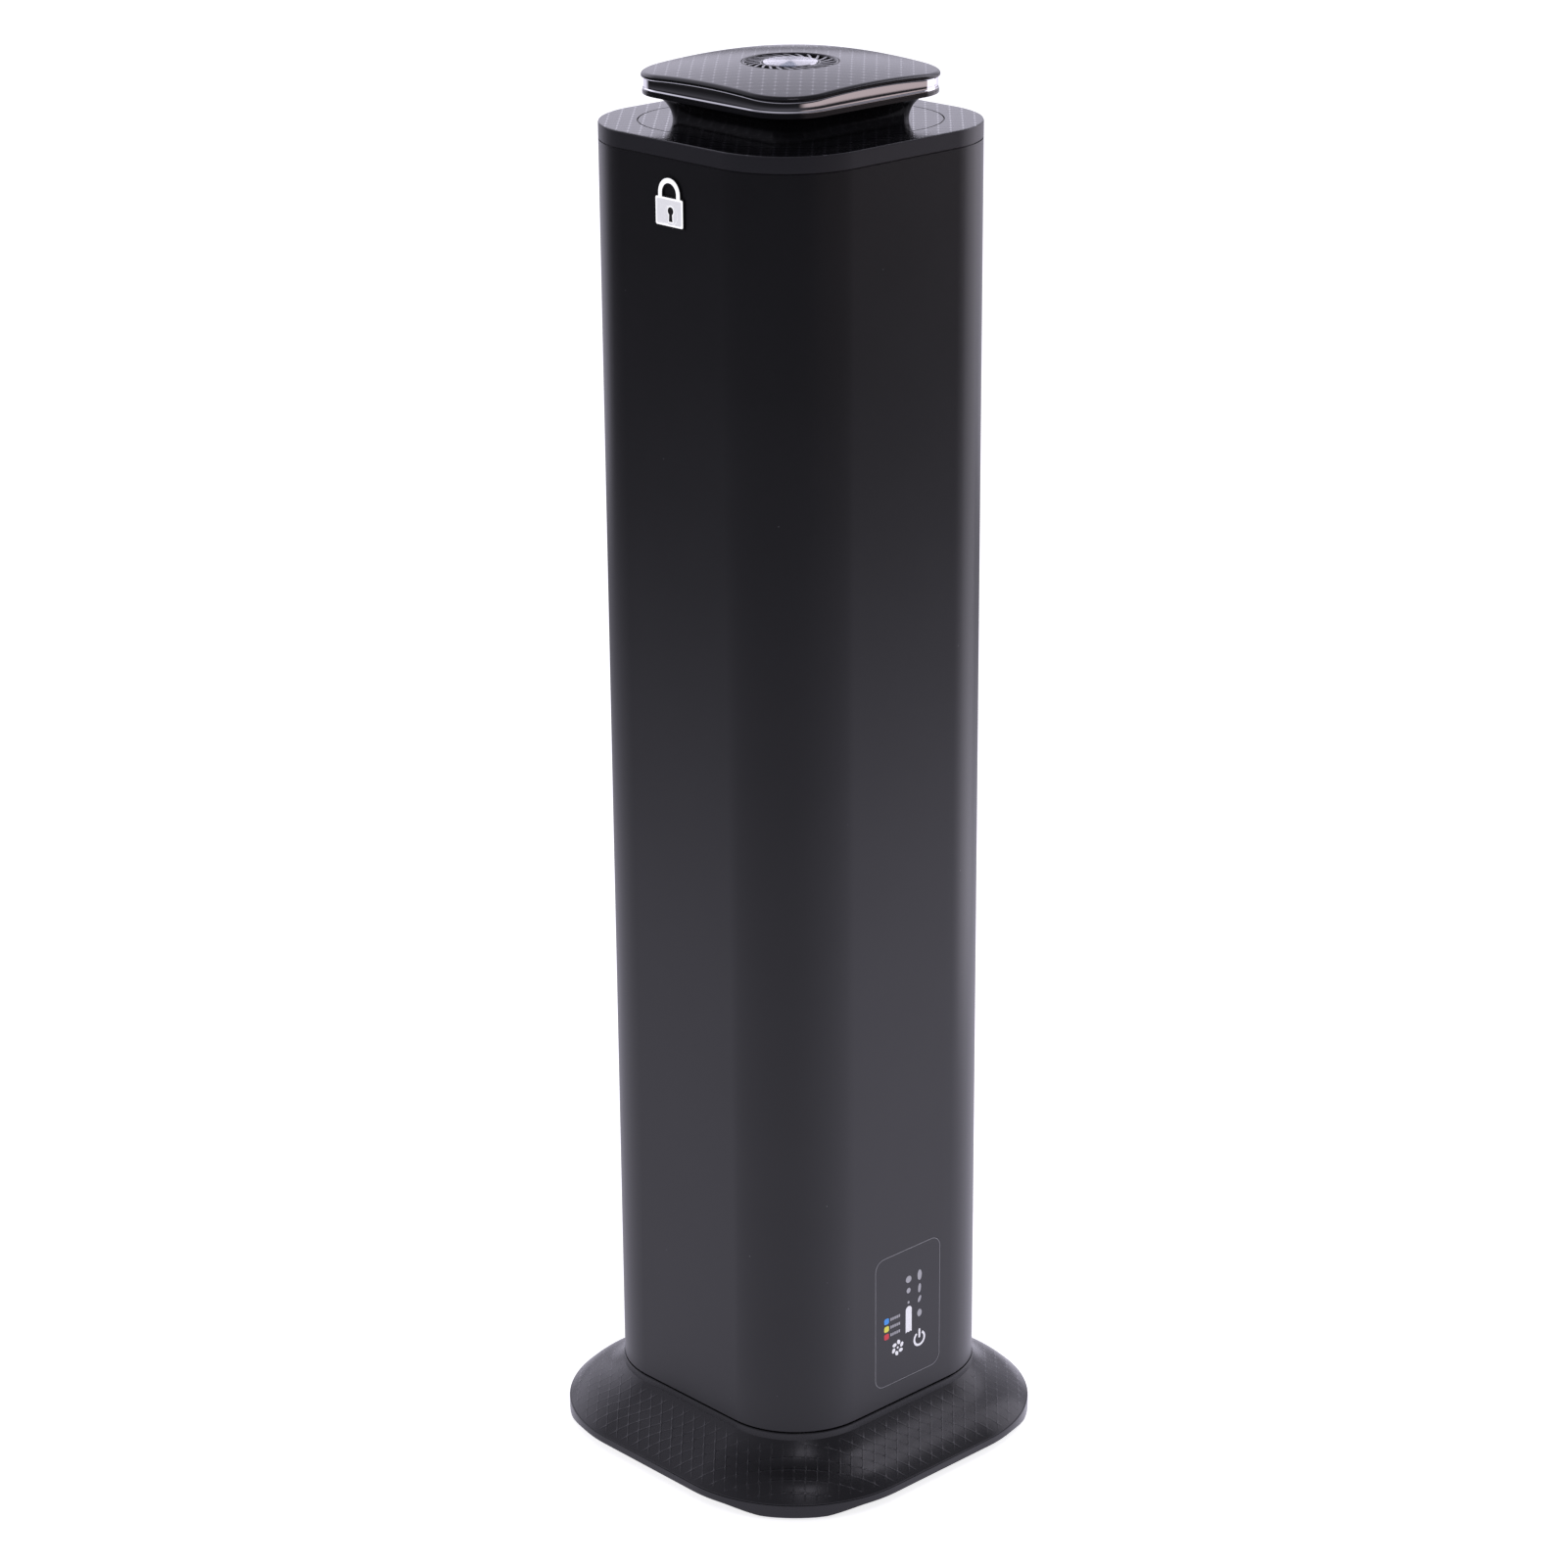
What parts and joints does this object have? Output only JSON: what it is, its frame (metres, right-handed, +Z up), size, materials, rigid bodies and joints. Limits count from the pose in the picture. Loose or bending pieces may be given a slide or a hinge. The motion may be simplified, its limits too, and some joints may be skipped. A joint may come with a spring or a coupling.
{
  "type": "air purifier",
  "caption": "Square tower air purifier on a flared base, with a lockable lift-off mushroom head that carries the filter cartridge, a low touch panel and a grille in the domed top.",
  "frame": {"origin": "on the floor, on the column's vertical axis", "axes": "+Z up along the column; the touch panel faces -Y and the lock faces -X"},
  "size_m": [0.2772, 0.2772, 0.9223],
  "materials": {
    "satin_black_shell": "fine satin powder coat",
    "patterned_gloss": "gloss with a fine square lattice",
    "gloss_black": "high gloss",
    "chrome": "mirror chrome",
    "spun_steel": "spun in circles",
    "grille_grey": "satin",
    "inner_black": "moulded",
    "rubber_black": "matt",
    "steel_screws": "zinc plated",
    "sheet_steel": "galvanised",
    "motor_metal": "cast",
    "ground_steel": "ground",
    "stator_iron": "laminated and wound",
    "foam": "open-cell foam",
    "circuit_board": "solder mask",
    "component_black": "moulded",
    "lamp": "clear lens",
    "touch_overlay": "satin film",
    "contact_brass": "plated",
    "sensor_plastic": "moulded",
    "lock_chrome": "satin chrome",
    "badge_silver": "satin silver",
    "filter_plastic": "moulded",
    "filter_paper": "pleated fibre",
    "carbon": "granular"
  },
  "bodies": {
    "housing": {"base_skirt": "patterned_gloss", "base_plate": "inner_black", "foot_pads": "rubber_black", "base_screws": "steel_screws", "intake_screen": "inner_black", "air_sensor": "sensor_plastic", "fan_deck": "sheet_steel", "inlet_bell": "inner_black", "fan_housing": "inner_black", "fan_screws": "steel_screws", "motor_bracket": "sheet_steel", "motor_grommets": "rubber_black", "motor_can": "motor_metal", "motor_endcap": "motor_metal", "stator": "stator_iron", "motor_bearings": "ground_steel", "partition": "inner_black", "column_shell": "satin_black_shell", "silencer_foam": "foam", "filter_guide": "inner_black", "power_board": "circuit_board", "board_components": "component_black", "board_standoffs": "steel_screws", "control_board": "circuit_board", "status_leds": "lamp", "control_overlay": "touch_overlay", "mains_inlet": "component_black", "inlet_pins": "contact_brass", "wiring": "component_black", "top_cap": "patterned_gloss", "cap_brackets": "sheet_steel", "cap_screws": "steel_screws", "lock_barrel": "lock_chrome", "lock_nut": "lock_chrome", "lock_badge": "badge_silver"},
    "lid": {"lid_plate": "patterned_gloss", "lid_gasket": "rubber_black", "latch_keeper": "sheet_steel", "lid_screws": "steel_screws", "bayonet_ring": "inner_black", "filter_seal": "rubber_black", "neck": "gloss_black", "head_screws": "steel_screws", "outlet_duct": "inner_black", "head_tray": "gloss_black", "chrome_band": "chrome", "dome_plate": "patterned_gloss", "swirl_grille": "grille_grey", "grille_disc": "spun_steel"},
    "filter": {"filter_top_cap": "filter_plastic", "filter_bottom_cap": "filter_plastic", "filter_cage": "filter_plastic", "pleated_media": "filter_paper", "carbon_core": "carbon"},
    "lock": {"lock_plug": "lock_chrome", "lock_cam": "lock_chrome"},
    "rotor": {"impeller": "inner_black", "motor_shaft": "ground_steel", "motor_core": "ground_steel"}
  },
  "joints": [
    {"name": "lid_lift", "type": "slide", "parent": "housing", "child": "lid", "axis": [0, 0, 1], "range_m": [0, 0.44]},
    {"name": "filter_twist", "type": "hinge", "parent": "lid", "child": "filter", "pos_m": [0, 0, 0.8705], "axis": [0, 0, 1], "range_deg": [0, 45]},
    {"name": "lock_turn", "type": "hinge", "parent": "housing", "child": "lock", "pos_m": [-0.1, -0.0015, 0.842], "axis": [-1, 0, 0], "range_deg": [0, 90]},
    {"name": "fan_spin", "type": "hinge", "parent": "housing", "child": "rotor", "pos_m": [0, 0, 0.12], "axis": [0, 0, 1], "continuous": true}
  ]
}
